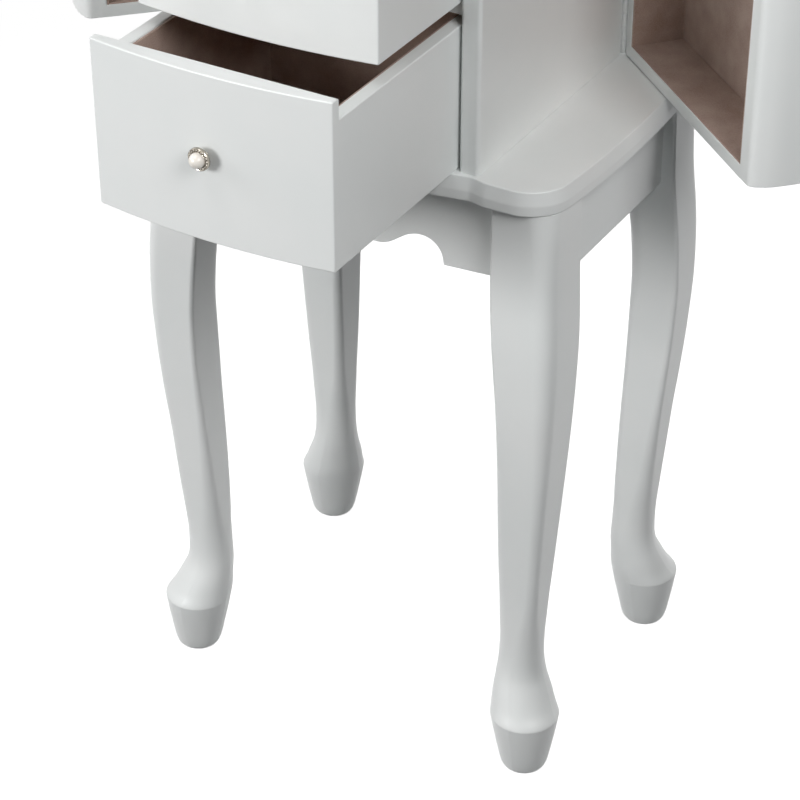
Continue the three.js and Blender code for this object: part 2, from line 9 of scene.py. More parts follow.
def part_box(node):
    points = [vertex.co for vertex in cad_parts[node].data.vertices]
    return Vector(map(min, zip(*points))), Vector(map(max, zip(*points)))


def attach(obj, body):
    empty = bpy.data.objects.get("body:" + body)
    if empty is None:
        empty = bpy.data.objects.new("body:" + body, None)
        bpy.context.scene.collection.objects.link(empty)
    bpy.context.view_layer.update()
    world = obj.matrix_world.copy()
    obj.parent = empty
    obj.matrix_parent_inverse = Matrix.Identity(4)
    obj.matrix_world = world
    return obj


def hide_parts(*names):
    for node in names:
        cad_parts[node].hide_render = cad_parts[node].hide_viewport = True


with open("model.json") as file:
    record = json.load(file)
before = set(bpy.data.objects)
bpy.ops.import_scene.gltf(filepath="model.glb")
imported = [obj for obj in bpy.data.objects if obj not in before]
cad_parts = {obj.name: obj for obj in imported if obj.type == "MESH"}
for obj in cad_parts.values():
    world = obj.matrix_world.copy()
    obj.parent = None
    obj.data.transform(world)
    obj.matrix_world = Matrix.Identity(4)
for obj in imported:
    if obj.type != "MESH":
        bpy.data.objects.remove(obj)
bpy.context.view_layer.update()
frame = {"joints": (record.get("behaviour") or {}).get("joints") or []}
mm = 0.001
print("frame loaded")


def nodeBox(name):
    # lowest and highest corner of a CAD node at rest
    low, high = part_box(name)
    return np.array(low), np.array(high)


boardLow, boardHigh = nodeBox("base_board")
sideLow, sideHigh = nodeBox("right_side_panel")
midX = (boardLow[0] + boardHigh[0]) / 2
caseFront, caseRear, caseTop = sideLow[1], sideHigh[1], sideHigh[2]
caseHalf, bayHalf, boardHalf = sideHigh[0] - midX, sideLow[0] - midX, boardHigh[0] - midX
joints = {j["name"]: j for j in frame["joints"]}


def addMesh(name, points, faces, material, smoothAngle=40, weighted=True):
    # a mesh from points (n, 3) in metres and faces; soft shading up to the angle, flat parts kept flat
    mesh = bpy.data.meshes.new(name)
    mesh.from_pydata(np.asarray(points, float).reshape(-1, 3).tolist(), [], faces)
    mesh.validate()
    mesh.update()
    piece = bpy.data.objects.new(name, mesh)
    bpy.context.scene.collection.objects.link(piece)
    mesh.materials.append(material)
    mesh.shade_smooth()
    mesh.set_sharp_from_angle(angle=math.radians(smoothAngle))
    if weighted:
        keep = piece.modifiers.new("flat faces stay flat", "WEIGHTED_NORMAL")
        keep.keep_sharp = True
        keep.weight = 100
    return piece


def gridFaces(rows, columns, closed=True, ends="capped"):
    # quads between neighbouring rows of a (rows, columns) grid, the columns joined round if closed;
    # the first and the last row are capped, joined to each other or left open
    r = np.arange(rows if ends == "joined" else rows - 1)
    r, c = np.meshgrid(r, np.arange(columns if closed else columns - 1), indexing="ij")
    up, on = (r + 1) % rows, (c + 1) % columns
    quads = np.stack([r * columns + c, r * columns + on, up * columns + on, up * columns + c], -1)
    faces = quads.reshape(-1, 4).tolist()
    if ends == "capped":
        faces.append(list(range(columns))[::-1])
        faces.append(list(range((rows - 1) * columns, rows * columns)))
    return faces


def repeated(faces, count, size, offset=0):
    # the faces of one small shape for each of its copies, whose points follow one another
    return [[v + offset + k * size for v in face] for k in range(count) for face in faces]


def turned(faces):
    # the same faces looking the other way
    return [face[::-1] for face in faces]


class Axes:
    # where a board's outline lies: an origin and the directions of its two outline axes and its height
    def __init__(self, origin=(0, 0, 0), a=(1, 0, 0), b=(0, 1, 0), h=(0, 0, 1)):
        self.origin = np.array(origin, float)
        self.basis = np.array([a, b, h], float)
        self.flipped = np.linalg.det(self.basis) < 0

    def place(self, local):
        return self.origin + np.asarray(local) @ self.basis

    def outside(self, faces):
        return turned(faces) if self.flipped else faces


upright = Axes()


def stacked(name, plan, heights, material, axes, smoothAngle, weighted=True, ends="capped"):
    # closed rings in plan (rings, points, 2), each at its height
    height = np.broadcast_to(heights[:, None, None], plan.shape[:2] + (1,))
    points = axes.place(np.concatenate([plan, height], -1))
    faces = axes.outside(gridFaces(*plan.shape[:2], True, ends))
    return addMesh(name, points, faces, material, smoothAngle, weighted)


def mitres(outline):
    # at each point of a closed counterclockwise outline, the outward step that moves both sides by 1
    before = outline - np.roll(outline, 1, 0)
    after = np.roll(outline, -1, 0) - outline
    before /= np.linalg.norm(before, axis=1, keepdims=True)
    after /= np.linalg.norm(after, axis=1, keepdims=True)
    n1 = np.stack([before[:, 1], -before[:, 0]], 1)
    n2 = np.stack([after[:, 1], -after[:, 0]], 1)
    return (n1 + n2) / (1 + np.sum(n1 * n2, axis=1, keepdims=True))


def carried(name, outline, profile, material, axes=upright, smoothAngle=40, ends="capped"):
    # a profile of insets and heights carried round a closed outline: the outline less inset times mitre
    outline, profile = np.asarray(outline, float), np.asarray(profile, float)
    plan = outline[None] - profile[:, :1, None] * mitres(outline)[None]
    return stacked(name, plan, profile[:, 1], material, axes, smoothAngle, True, ends)


def revolved(name, profile, material, axes, count, smoothAngle=50):
    # a profile of (radius, height) turned about the height axis; ends on the axis close in a point
    angle = np.linspace(0, 2 * math.pi, count, endpoint=False)
    profile = np.asarray(profile, float)
    plan = np.maximum(profile[:, 0], 1e-5)[:, None, None] * np.stack([np.cos(angle), np.sin(angle)], 1)
    return stacked(name, plan, profile[:, 1], material, axes, smoothAngle, weighted=False)


def eased(low, high, radius, steps=4):
    # profile of a board's edge: (inset, height) up a quarter round, a straight stretch and a quarter round
    a = np.linspace(0, math.pi / 2, steps + 1)
    foot = np.stack([radius * (1 - np.sin(a)), low + radius * (1 - np.cos(a))], 1)
    head = np.stack([radius * (1 - np.cos(a)), high - radius * (1 - np.sin(a))], 1)
    return np.concatenate([foot, head])


def fillet(corners, radii, steps=4):
    # each corner with a radius becomes an arc that touches both its sides
    corners = np.asarray(corners, float)
    radii = np.broadcast_to(np.asarray(radii, float), len(corners))
    parts = []
    for i, (corner, radius) in enumerate(zip(corners, radii)):
        if radius <= 0:
            parts.append(corner[None])
            continue
        a = corners[i - 1] - corner
        b = corners[(i + 1) % len(corners)] - corner
        a /= np.linalg.norm(a)
        b /= np.linalg.norm(b)
        half = math.acos(np.clip(a @ b, -1, 1)) / 2
        centre = corner + (a + b) / np.linalg.norm(a + b) * radius / math.sin(half)
        start = corner + a * radius / math.tan(half) - centre
        end = corner + b * radius / math.tan(half) - centre
        sweep = math.pi - 2 * half
        t = np.linspace(0, 1, steps + 1)[:, None]
        parts.append(centre + (np.sin((1 - t) * sweep) * start + np.sin(t * sweep) * end) / math.sin(sweep))
    return np.concatenate(parts)


def rectangle(a0, a1, b0, b1, radius, steps=4):
    # four corners, counterclockwise, each rounded by the radius
    return fillet([(a0, b0), (a1, b0), (a1, b1), (a0, b1)], radius, steps)


def bezier(p0, p1, p2, p3, count):
    # cubic curve from the first point to the last, drawn towards the two between
    t = np.linspace(0, 1, count + 1)[:, None]
    p0, p1, p2, p3 = (np.array(p, float) for p in (p0, p1, p2, p3))
    return (1 - t) ** 3 * p0 + 3 * t * (1 - t) ** 2 * p1 + 3 * t ** 2 * (1 - t) * p2 + t ** 3 * p3


def arc(centre, radius, start, end, count):
    # centre plus radius times cosine and sine, between two angles in degrees
    angle = np.radians(np.linspace(start, end, count + 1))
    return np.array(centre) + radius * np.stack([np.cos(angle), np.sin(angle)], 1)


def withoutRepeats(points):
    # a closed outline without the points that lie on the one before
    return points[np.linalg.norm(points - np.roll(points, 1, 0), axis=1) > 1e-6]


def mirroredOutline(half):
    # the right half of an outline, from the middle line round to the middle line, and its mirror image
    return withoutRepeats(np.concatenate([half, half[half[:, 0] > 1e-6][::-1] * (-1, 1)]))


def smoothThrough(at, stations, values):
    # cubic curve through the stations, its slope at each the mean of the slopes on both sides
    slopes = np.gradient(values, stations)
    i = np.clip(np.searchsorted(stations, at, side="right") - 1, 0, len(stations) - 2)
    width = stations[i + 1] - stations[i]
    t = (at - stations[i]) / width
    rise = values[i + 1] - values[i]
    a = slopes[i] * width - rise
    b = rise - slopes[i + 1] * width
    return values[i] + t * rise + t * (1 - t) * ((1 - t) * a + t * b)


def seat(piece, body, slot, *nodes):
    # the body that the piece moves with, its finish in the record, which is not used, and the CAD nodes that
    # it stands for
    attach(piece, body)
    if nodes:
        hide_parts(*nodes)
    return piece


def colour(code, alpha=1.0):
    # an sRGB hex colour as linear red, green and blue
    value = np.array([int(code[i:i + 2], 16) for i in (1, 3, 5)]) / 255
    linear = np.where(value <= 0.04045, value / 12.92, ((value + 0.055) / 1.055) ** 2.4)
    return (*linear.tolist(), alpha)


def addNode(tree, kind, settings=None, sockets=None, links=None):
    # one node with its settings, its own socket values and its incoming links
    made = tree.nodes.new("ShaderNode" + kind)
    for key, value in (settings or {}).items():
        setattr(made, key, value)
    for key, value in (sockets or {}).items():
        made.inputs[key].default_value = value
    for key, source in (links or {}).items():
        tree.links.new(source, made.inputs[key])
    return made


def finish(name, look):
    # tone: a noise, the mean of two or a pattern of cells picks a colour between the first and the second;
    # bump: one of the noises gives the relief; shader: the surface's own values
    material = bpy.data.materials.new(name)
    material.use_nodes = True
    tree = material.node_tree
    shader = tree.nodes["Principled BSDF"]
    place = addNode(tree, "TexCoord").outputs["Object"]
    noises = []
    for size, detail in look.get("noises", []):
        sockets = {"Scale": 1 / (size * mm), "Detail": detail}
        noises.append(addNode(tree, "TexNoise", sockets=sockets, links={"Vector": place}).outputs["Fac"])
    # a pattern of cells paints glints: light in each cell's middle, dark at its edges
    if "cell" in look:
        sockets = {"Scale": 1 / (look["cell"] * mm)}
        tone = addNode(tree, "TexVoronoi", sockets=sockets, links={"Vector": place}).outputs["Distance"]
    elif look.get("mean"):
        both = addNode(tree, "Math", {"operation": "ADD"}, links=dict(enumerate(noises))).outputs[0]
        tone = addNode(tree, "Math", {"operation": "MULTIPLY"}, sockets={1: 0.5}, links={0: both}).outputs[0]
    else:
        tone = noises[0]
    ramp = addNode(tree, "ValToRGB", links={"Fac": tone})
    for stop, code, position in zip(ramp.color_ramp.elements, look["tones"], look.get("between", (0, 1))):
        stop.color = colour(code)
        stop.position = position
    tree.links.new(ramp.outputs["Color"], shader.inputs["Base Color"])
    if "bump" in look:
        which, strength, depth = look["bump"]
        sockets = {"Strength": strength, "Distance": depth * mm}
        bump = addNode(tree, "Bump", sockets=sockets, links={"Height": noises[which]})
        tree.links.new(bump.outputs["Normal"], shader.inputs["Normal"])
    for key, value in look["shader"].items():
        shader.inputs[key].default_value = value
    return material


# noises: size in mm and detail of each; bump: which of the noises, strength and depth in mm
looks = {
    # sprayed and rubbed down: nearly even colour in wide patches, a faint orange peel in the gloss
    "satin white lacquer": {
        "noises": [(90, 3.0), (2.2, 2.0)], "tones": ("#e9eceb", "#eceeed"), "between": (0.35, 0.65),
        "bump": (1, 0.35, 0.02), "shader": {"Roughness": 0.34, "IOR": 1.5},
    },
    # nylon fibres on glue: matt, clouded where brushed, with a soft sheen; drawn coarse, so that they show
    "taupe flocked felt": {
        "noises": [(0.9, 4.0), (28, 3.0)], "mean": True, "bump": (0, 0.8, 0.25),
        "tones": ("#9a8174", "#bea89d"), "between": (0.3, 0.7), "shader": {
            "Roughness": 1.0, "Specular IOR Level": 0.1, "Sheen Weight": 0.25, "Sheen Roughness": 0.5,
        },
    },
    # pressed wood fibres, unpainted: fine pale flecks in brown, no gloss
    "raw fibreboard": {
        "noises": [(3.5, 5.0)], "tones": ("#7d6247", "#a98f72"), "shader": {"Roughness": 0.85},
    },
    # plated cast zinc: sharp reflections with a faint unevenness of the casting
    "bright silver plate": {
        "noises": [(1.5, 2.0)], "tones": ("#8f8a80", "#b8b2a7"),
        "bump": (0, 0.2, 0.05), "shader": {"Metallic": 1.0, "Roughness": 0.18},
    },
    # moulded ball under nacre lacquer: cream, glossy, with a pale coat
    "cream imitation pearl": {
        "noises": [(5, 2.0)], "tones": ("#e6ded2", "#f4f0ea"), "shader": {
            "Roughness": 0.28, "Coat Weight": 0.6, "Coat Roughness": 0.08, "Sheen Weight": 0.15,
        },
    },
    # small cut stones with foil behind: mirror-bright facets with a grey cast; the cells, light in the middle
    # and dark at the edges, are painted glints
    "foil-backed cut glass": {
        "cell": 1.1, "tones": ("#b9b3a8", "#383430"), "shader": {"Metallic": 0.7, "Roughness": 0.06},
    },
    # steel sprayed with the cabinet: the same white, slightly thinner and glossier
    "white painted hinge steel": {
        "noises": [(8, 3.0)], "tones": ("#dfe2e1", "#e9ebea"), "shader": {"Roughness": 0.3},
    },
    # float glass with a silver back: a clean mirror, faintly green in the body of the glass
    "silvered mirror glass": {
        "noises": [(60, 1.0)], "tones": ("#dde5e3", "#e3e9e8"),
        "shader": {"Metallic": 1.0, "Roughness": 0.015},
    },
}
lacquer, felt, fibreboard, silver, pearl, stone, hingePaint, mirrorGlass = (
    finish(name, look) for name, look in looks.items()
)
print("materials made")


board = {
    # front outline, in mm ahead of the case or beyond its sides, and how far the swollen sides lean
    "bowAhead": 18.1, "neckIn": 7.5, "neckAhead": 6.1, "neckReach": (6, 12.6),
    "earAhead": 8.9, "earStart": 11.5, "corner": 40, "swell": 5.5, "lean": 5.5,
    # edge: round below, share of the thickness that stands upright, soft turn, tight round on top, flat
    "under": 2, "upright": 0.44, "turn": 12, "crown": 1.3, "crownAt": (2.81, 0.13), "flatAt": 9.2,
}


def nosedEdge(low, high):
    # profile of the edge: quarter round below, upright, a soft turn, a leaning band and a tight round on top
    under, turn, crown = (board[k] * mm for k in ("under", "turn", "crown"))
    a = np.linspace(0, math.pi / 2, 6)
    foot = np.stack([under * (1 - np.sin(a)), low + under * (1 - np.cos(a))], 1)
    crownIn, crownDown = board["crownAt"]
    points = fillet([
        (0, low + under), (0, low + board["upright"] * (high - low)),
        (crownIn * mm, high - crownDown * mm), (board["flatAt"] * mm, high),
    ], [0, turn, crown, 0], 9)
    return np.concatenate([foot, points[1:-1]])


def boardOutline(rearY):
    # front bow as a parabola, neck and ear as a cubic, round corners, sides swollen as parabolas
    size = {k: v * mm for k, v in board.items() if not isinstance(v, tuple)}
    bowY, earY, neckY = (caseFront - size[k] for k in ("bowAhead", "earAhead", "neckAhead"))
    neckX = caseHalf - size["neckIn"]
    earX = caseHalf + size["earStart"]
    radius = size["corner"]
    cornerX = boardHalf - size["swell"] - radius
    lean = math.radians(board["lean"])
    endX = cornerX + radius * math.cos(lean)
    frontEnd = earY + radius * (1 - math.sin(lean))
    rearEnd = rearY - radius * (1 - math.sin(lean))
    t = np.linspace(0, 1, 25)[:, None]
    bow = np.concatenate([t * neckX, bowY + t ** 2 * (neckY - bowY)], 1)
    slope = 2 * (neckY - bowY) / neckX
    near, far = (reach * mm for reach in board["neckReach"])
    neck = bezier((neckX, neckY), (neckX + near, neckY + near * slope), (neckX + far, earY), (earX, earY), 12)
    y = np.linspace(frontEnd, rearEnd, 40)[:, None]
    middle = (frontEnd + rearEnd) / 2
    side = np.concatenate([boardHalf - (boardHalf - endX) * ((y - middle) / (frontEnd - middle)) ** 2, y], 1)
    front = arc((cornerX, earY + radius), radius, -90, -board["lean"], 14)
    rear = arc((cornerX, rearY - radius), radius, board["lean"], 90, 14)
    return mirroredOutline(np.concatenate([bow, neck, front, side, rear])) + (midX, 0)


def makeBaseBoard():
    profile = nosedEdge(boardLow[2], boardHigh[2])
    plate = carried("base_board_lacquered", boardOutline(boardHigh[1]), profile, lacquer)
    seat(plate, "cabinet", "white_lacquer", "base_board")


leg = {
    # height, centre along the diagonal, half diagonal, rounds of side, outer and inner corner, breadth across
    "shaft": [
        (59, 14.2, 45.7, 32.25, 32.25, 32.25, 1.0),
        (61, 13.7, 45.3, 32.0, 32.0, 32.0, 1.0),
        (64, 12.2, 44.3, 31.3, 31.3, 31.3, 1.0),
        (68, 10.2, 42.4, 30.0, 30.0, 30.0, 1.01),
        (72, 8.6, 40.9, 28.9, 28.9, 28.9, 1.02),
        (77, 7.0, 38.9, 27.5, 27.5, 27.5, 1.04),
        (82.8, 5.3, 36.8, 26.0, 26.0, 26.0, 1.055),
        (88, 3.7, 35.1, 24.8, 24.8, 24.8, 1.055),
        (93, 2.2, 33.5, 23.7, 23.7, 23.7, 1.05),
        (98, 0.8, 32.2, 22.7, 22.7, 22.7, 1.045),
        (104, 0, 31.1, 21.8, 21.8, 21.8, 1.03),
        (110, -0.4, 30.3, 20.9, 20.9, 20.9, 1.01),
        (120, -0.5, 29.4, 19.5, 19.5, 19.5, 0.99),
        (130, -0.4, 28.7, 18.2, 18.2, 18.2, 0.985),
        (145, 0.1, 28.0, 16.4, 16.0, 16.0, 0.99),
        (160, 0.7, 27.8, 14.5, 13.5, 13.5, 1.005),
        (190, 2.3, 27.6, 11.5, 9.5, 9.5, 1.03),
        (220, 4.0, 28.4, 9.5, 9.0, 8.5, 1.045),
        (260, 6.6, 29.6, 7.0, 9.5, 8.0, 1.045),
        (300, 9.6, 31.0, 5.6, 9.5, 7.5, 1.045),
        (340, 12.2, 32.6, 4.6, 11.0, 7.5, 1.045),
        (370, 13.2, 34.1, 4.4, 12.5, 10.5, 1.045),
        (400, 13.5, 35.6, 4.2, 13.5, 15.0, 1.045),
        (430, 12.0, 37.3, 4.0, 14.5, 19.5, 1.045),
        (460, 9.6, 38.8, 3.8, 15.5, 22.0, 1.045),
        (485, 7.0, 39.2, 3.4, 16.0, 18.0, 1.045),
        (505, 4.6, 39.2, 3.2, 16.0, 8.0, 1.045),
        (520, 3.2, 39.0, 3.0, 16.0, 4.0, 1.045),
        (550, 1.8, 38.8, 3.0, 16.5, 3.0, 1.045),
        (575, 1.0, 38.7, 3.0, 18.0, 3.0, 1.045),
        (596.2, 0.0, 38.5, 3.0, 21.5, 3.0, 1.045),
    ],
    # the cone under the sharp rim: height, centre along the diagonal, radius
    "foot": [
        (0, 16.2, 16.2), (0.5, 16.2, 18.3), (2, 16.2, 20.2), (4.5, 16.2, 21.6), (8, 16.1, 22.7),
        (20, 15.8, 25.3), (36, 15.2, 28.4), (50, 14.6, 30.9), (58, 14.25, 32.1), (59, 14.2, 32.25),
    ],
    "footRings": [0, 0.15, 0.5, 1.1, 2, 3.2, 4.5, 6, 8, 12, 16, 20, 28, 36, 44, 50, 54, 57, 58.4],
    "shaftRings": 190, "rimGaps": (0.5, 2), "arcPoints": 9, "flatPoints": 3, "spare": 0.3, "post": 54,
}


def throughStations(stations, at):
    # every column of the stations at the given heights, the seventh being a share and not a length
    stations = np.array(stations) * ([mm] * 6 + [1])[:len(stations[0])]
    return [smoothThrough(at, stations[:, 0], stations[:, k]) for k in range(1, stations.shape[1])]


def legSurface(name, sx, sy):
    # level rings, each a square on its corner with four rounded corners, on a spline through the stations
    low, high = nodeBox(name)
    rim = leg["shaft"][0][0] * mm
    near, far = (rim + gap * mm for gap in leg["rimGaps"])
    footAt = np.array(leg["footRings"]) * mm
    shaftAt = np.concatenate([[rim, near], np.linspace(far, high[2] - low[2], leg["shaftRings"])])
    at = np.concatenate([footAt, shaftAt])
    footCentre, footRadius = throughStations(leg["foot"], footAt)
    shaft = throughStations(leg["shaft"], shaftAt)
    foot = [footCentre, footRadius * math.sqrt(2), footRadius, footRadius, footRadius, 1 + 0 * footAt]
    centre, half, side, outer, inner, wide = (np.concatenate(pair) for pair in zip(foot, shaft))
    turn = np.radians(np.linspace(-45, 45, leg["arcPoints"]))
    arcs = []
    for way, radius in zip(np.radians([0, 90, 180, 270]), (outer, side, inner, side)):
        radius = np.minimum(radius, (half - leg["spare"] * mm) / math.sqrt(2))
        reach = half - radius * math.sqrt(2)
        along = centre[:, None] + (reach * math.cos(way))[:, None] + radius[:, None] * np.cos(way + turn)
        across = ((reach * math.sin(way))[:, None] + radius[:, None] * np.sin(way + turn)) * wide[:, None]
        arcs.append(np.stack([along, across], -1))
    ring = []
    share = np.linspace(0, 1, leg["flatPoints"] + 2)[1:-1, None]
    for first, second in zip(arcs, arcs[1:] + arcs[:1]):
        ring += [first, first[:, -1:, :] * (1 - share) + second[:, :1, :] * share]
    ring = np.concatenate(ring, 1)
    anchorX = (high[0] if sx < 0 else low[0]) + sx * leg["post"] / 2 * mm
    anchorY = (high[1] if sy < 0 else low[1]) + sy * leg["post"] / 2 * mm
    x = anchorX + sx * (ring[..., 0] - ring[..., 1]) / math.sqrt(2)
    y = anchorY + sy * (ring[..., 0] + ring[..., 1]) / math.sqrt(2)
    z = np.broadcast_to(low[2] + at[:, None], x.shape)
    faces = gridFaces(*x.shape)
    if sx * sy < 0:
        faces = turned(faces)
    return addMesh(name + "_shaped", np.stack([x, y, z], -1), faces, lacquer, 60)


def makeLegs():
    for depth, sy in (("front", -1), ("rear", 1)):
        for hand, sx in (("right", 1), ("left", -1)):
            name = f"{depth}_{hand}_leg"
            seat(legSurface(name, sx, sy), "cabinet", "white_lacquer", name)


apron = {
    "ease": 1.5, "tenon": 6, "bow": 9, "thickness": 16,
    # right half of the lower edge: two cubics by distance from the middle and height, then flat from there
    "scallop": [
        ((28, 6), (46, 6), (52.3, 24), (70.3, 24)),
        ((70.3, 24), (83.3, 24), (90.3, 14), (91.3, 6)),
    ],
    "flatFrom": 92.3,
}


def makeAprons():
    ease, tenon, bow, thickness = (apron[k] * mm for k in ("ease", "tenon", "bow", "thickness"))
    low, high = nodeBox("front_apron")
    base = (0, low[2])
    curves = [bezier(*(np.array(curve) * mm), 22) + base for curve in apron["scallop"]]
    end = high[0] - midX
    run = np.linspace(apron["flatFrom"] * mm, end + tenon, 12)[:, None]
    back = np.linspace(end + tenon, 0, 40)[:, None]
    outline = mirroredOutline(np.concatenate([
        [(0, curves[0][0, 1])], *curves, np.concatenate([run, 0 * run + low[2]], 1),
        np.concatenate([back, 0 * back + high[2]], 1),
    ]))
    # the flat board is carried in local axes, then every point moves ahead by the parabola of the bow
    flat = Axes(origin=(midX, 0, 0), a=(1, 0, 0), b=(0, 0, 1), h=(0, -1, 0))
    front = carried("front_apron_scalloped", outline, eased(0, thickness, ease), lacquer, flat, 50)
    points = np.empty(len(front.data.vertices) * 3)
    front.data.vertices.foreach_get("co", points)
    points = points.reshape(-1, 3)
    points[:, 1] += low[1] + thickness + bow * ((points[:, 0] - midX) / end) ** 2
    front.data.vertices.foreach_set("co", points.ravel())
    front.data.update()
    seat(front, "cabinet", "white_lacquer", "front_apron")

    low, high = nodeBox("rear_apron")
    outline = rectangle(low[0] - tenon, high[0] + tenon, low[2], high[2], ease)
    facing = Axes(origin=(0, high[1], 0), a=(1, 0, 0), b=(0, 0, 1), h=(0, -1, 0))
    rear = carried("rear_apron_board", outline, eased(0, high[1] - low[1], ease), lacquer, facing)
    seat(rear, "cabinet", "white_lacquer", "rear_apron")
    for hand in ("right", "left"):
        low, high = nodeBox(hand + "_apron")
        outline = rectangle(low[1] - tenon, high[1] + tenon, low[2], high[2], ease)
        facing = Axes(origin=(low[0], 0, 0), a=(0, 1, 0), b=(0, 0, 1), h=(1, 0, 0))
        side = carried(hand + "_apron_board", outline, eased(0, high[0] - low[0], ease), lacquer, facing)
        seat(side, "cabinet", "white_lacquer", hand + "_apron")


case = {
    "ease": 0.8, "foot": 0.25, "shelfEase": 0.5, "dividerEase": 1.8, "cornerShare": 1.3,
    "bow": 9, "railCorner": 1, "corner": 3.5, "rearCorner": 1,
    "band": 1.0, "bandEase": 0.3, "shelfFace": 0.2,
}


def plainBoard(node, body, slot, material, ease, suffix="_board", corner=None):
    # a flat board of the node's own size with eased edges
    low, high = nodeBox(node)
    corner = case["cornerShare"] * ease if corner is None else corner
    outline = rectangle(low[0], high[0], low[1], high[1], corner * mm, 3)
    piece = carried(node + suffix, outline, eased(low[2], high[2], ease * mm, 3), material)
    return seat(piece, body, slot, node)


def bowedOutline(low, high, corner):
    # straight back and sides, the front a parabola that stands ahead by the bow at its middle
    half, bow = (high[0] - low[0]) / 2, case["bow"] * mm
    x = np.linspace(-1, 1, 49)
    curve = np.stack([x * half, low[1] + bow * x ** 2], 1)
    points = np.concatenate([curve, [(half, high[1]), (-half, high[1])]])
    radii = np.zeros(len(points))
    radii[[0, len(x) - 1]] = corner * mm
    return withoutRepeats(fillet(points, radii)) + (midX, 0)


def makeCase():
    for hand in ("right", "left"):
        node = hand + "_side_panel"
        low, high = nodeBox(node)
        corners = [(low[0], low[1]), (high[0], low[1]), (high[0], high[1]), (low[0], high[1])]
        radii = np.array([case["corner"]] * 2 + [case["rearCorner"]] * 2) * mm
        profile = eased(low[2], high[2], case["foot"] * mm, 3)
        panel = carried(node + "_eased", fillet(corners, radii, 8), profile, lacquer)
        seat(panel, "cabinet", "white_lacquer", node)
    plainBoard("back_panel", "cabinet", "white_lacquer", lacquer, case["ease"])
    for name in ("middle_drawer_shelf", "upper_drawer_shelf"):
        low, high = nodeBox(name)
        split = low[1] + case["band"] * mm
        outline = rectangle(low[0], high[0], split, high[1], 0)
        profile = eased(low[2], high[2], case["shelfFace"] * mm, 2)
        shelf = carried(name + "_board", outline, profile, fibreboard)
        seat(shelf, "cabinet", "plain_board", name)
        outline = rectangle(low[0], high[0], low[1], split, 0)
        profile = eased(low[2], high[2], case["bandEase"] * mm, 2)
        band = carried(name + "_edge_band", outline, profile, lacquer)
        seat(band, "cabinet", "white_lacquer")
    for name, ease in (("compartment_floor", "shelfEase"), ("compartment_divider", "dividerEase")):
        plainBoard(name, "cabinet", "flocked_board", felt, case[ease], "_flocked")
    low, high = nodeBox("front_rail")
    outline = bowedOutline(low, high, case["railCorner"])
    rail = carried("front_rail_bowed", outline, eased(low[2], high[2], case["ease"] * mm, 3), lacquer)
    seat(rail, "cabinet", "white_lacquer", "front_rail")


makeBaseBoard()
makeLegs()
makeAprons()
makeCase()
print("stand and case made")


knob = {
    "stem": 9.0,
    # the cup's points: radius from the axis, pearl's or ring's edge, height from the back, stem or face
    "cup": [
        ("axis", 0, "back", 0), ("axis", 3.2, "back", 0), ("axis", 4, "back", 0.5), ("axis", 4, "back", 2.3),
        ("axis", 2, "back", 2.6), ("axis", 2, "stem", 0), ("axis", 4.6, "stem", 0),
        ("axis", 4.9, "stem", 0.6), ("axis", 4.3, "stem", 1.4), ("axis", 3.5, "stem", 2.3),
        ("axis", 4.2, "stem", 3.4), ("axis", 6.6, "stem", 4.3), ("ring", -1, "stem", 5.0),
        ("ring", 0, "stem", 6.1), ("ring", -0.1, "face", -1.1), ("ring", -0.7, "face", -0.4),
        ("ring", -1.4, "face", -0.9),
        ("pearl", 0.5, "face", -0.9), ("pearl", 0.1, "face", -0.3), ("pearl", -0.5, "face", -0.5),
        ("pearl", -2, "face", -3.4), ("axis", 0, "face", -4.0),
    ],
    # stones: low eight-sided domes, given as share of the size across and up
    "stones": 18, "stone": 1.05, "stoneRim": 0.6, "stoneSeat": 0.9,
    "dome": [(1.0, 0), (1.0, 0.35), (0.6, 0.8), (0.0, 0.8)],
}


def makeKnob(name, body):
    # cup and pearl turned about the knob's axis, the stones in a circle between the cup's rim and the pearl
    settingLow, settingHigh = nodeBox(name + "_knob_setting")
    pearlLow, pearlHigh = nodeBox(name + "_knob_pearl")
    centre = (pearlLow + pearlHigh) / 2
    radius = (pearlHigh[0] - pearlLow[0]) / 2
    ring = (settingHigh[0] - settingLow[0]) / 2
    face = centre[1] - settingLow[1]  # the ring's face ahead of the pearl's centre
    back = centre[1] - settingHigh[1]
    stem = face - knob["stem"] * mm
    start = {"axis": 0, "pearl": radius, "ring": ring, "back": back, "stem": stem, "face": face}
    axes = Axes(origin=centre, a=(1, 0, 0), b=(0, 0, 1), h=(0, -1, 0))
    profile = [(start[a] + r * mm, start[b] + h * mm) for a, r, b, h in knob["cup"]]
    seat(revolved(name + "_knob_cup", profile, silver, axes, 56), body, "silver", name + "_knob_setting")
    t = np.linspace(-math.pi / 2, math.pi / 2, 33)
    half = radius * np.stack([np.cos(t), np.sin(t)], 1)
    seat(revolved(name + "_knob_bead", half, pearl, axes, 48), body, "pearl", name + "_knob_pearl")
    count = knob["stones"]
    sides = np.radians(np.arange(8) * 45 + 22.5)
    levels = np.array(knob["dome"])
    across = levels[:, :1]
    unit = np.stack([across * np.cos(sides), across * np.sin(sides), np.repeat(levels[:, 1:], 8, 1)], -1)
    angle = 2 * math.pi * np.arange(count) / count
    middle = (radius + ring - knob["stoneRim"] * mm) / 2
    spread = np.stack([np.cos(angle), np.sin(angle), np.zeros(count)], 1) * middle
    points = unit * knob["stone"] * mm + spread[:, None, None] + (0, 0, face - knob["stoneSeat"] * mm)
    faces = axes.outside(repeated(gridFaces(*unit.shape[:2])[:-1], count, unit[..., 0].size))
    seat(addMesh(name + "_knob_stones", axes.place(points), faces, stone, 5, weighted=False), body, "silver")


drawer = {
    "ease": 1.3, "corner": 1.7, "sideEase": 1.2, "bottomEase": 0.5,
    "lining": 2.2, "liningDrop": 1.0, "liningGap": 0.05, "cove": (0.6, 2),
}


